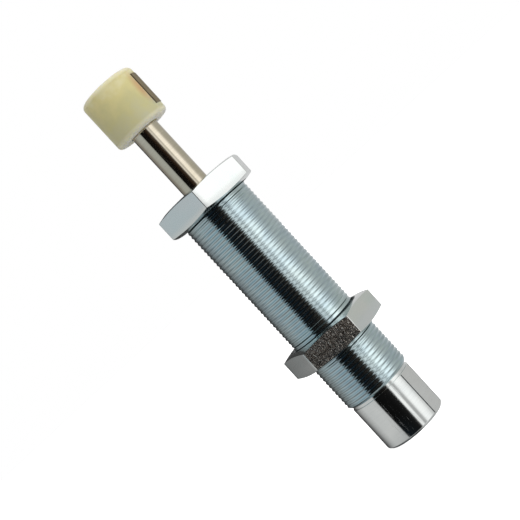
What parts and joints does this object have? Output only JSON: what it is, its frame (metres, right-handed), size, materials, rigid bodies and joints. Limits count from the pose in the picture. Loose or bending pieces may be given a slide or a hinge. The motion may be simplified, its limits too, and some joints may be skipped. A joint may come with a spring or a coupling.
{
  "type": "industrial shock absorber",
  "caption": "Threaded-body hydraulic shock absorber: sprung chrome rod with an ivory impact cap, two hexagon nuts, plain rear end with wrench flats.",
  "frame": {"origin": "centre of the flat rear face", "axes": "+Z along the rod, towards the cap; +X and +Y square to it"},
  "size_m": [0.0366, 0.0368, 0.1492],
  "materials": {
    "zinc_steel": "bright zinc plate",
    "nut_zinc": "bright zinc plate",
    "ivory_nylon": "satin, slightly translucent",
    "dark_key": "dark oxide",
    "hard_chrome": "polished",
    "spring_steel": "phosphated",
    "nitrile": "matte",
    "turned_aluminium": "turned",
    "polyurethane": "matte",
    "ptfe": "matte",
    "bearing_bronze": "turned",
    "cell_foam": "closed-cell foam",
    "tube_steel": "honed",
    "piston_steel": "ground",
    "spring_wire": "drawn",
    "black_steel": "black oxide",
    "ball_steel": "polished"
  },
  "bodies": {
    "body": {"barrel": "zinc_steel", "retaining_ring": "spring_steel", "wiper_ring": "nitrile", "seal_gland": "turned_aluminium", "gland_o_ring": "nitrile", "rod_seal": "polyurethane", "backup_ring": "ptfe", "rod_bearing": "bearing_bronze", "accumulator_foam": "cell_foam", "pressure_tube": "tube_steel", "return_spring": "spring_wire", "fill_plug": "black_steel", "fill_ball": "ball_steel"},
    "rod": {"piston_rod": "hard_chrome", "cap": "ivory_nylon", "cap_key": "dark_key", "piston": "piston_steel", "check_ring": "spring_steel", "piston_nut": "piston_steel"},
    "front_nut_body": {"front_nut": "nut_zinc"},
    "lock_nut_body": {"lock_nut": "nut_zinc"}
  },
  "joints": [
    {"name": "rod_slide", "type": "slide", "parent": "body", "child": "rod", "axis": [0, 0, 1], "range_m": [-0.025, 0], "stiffness_N_per_m": 1140, "springref_m": 0.0105, "deforming": ["return_spring"]},
    {"name": "front_nut_slide", "type": "slide", "parent": "body", "child": "front_nut_body", "axis": [0, 0, 1], "range_m": [-0.028, 0]},
    {"name": "lock_nut_slide", "type": "slide", "parent": "body", "child": "lock_nut_body", "axis": [0, 0, 1], "range_m": [-0.0175, 0.0235]}
  ]
}
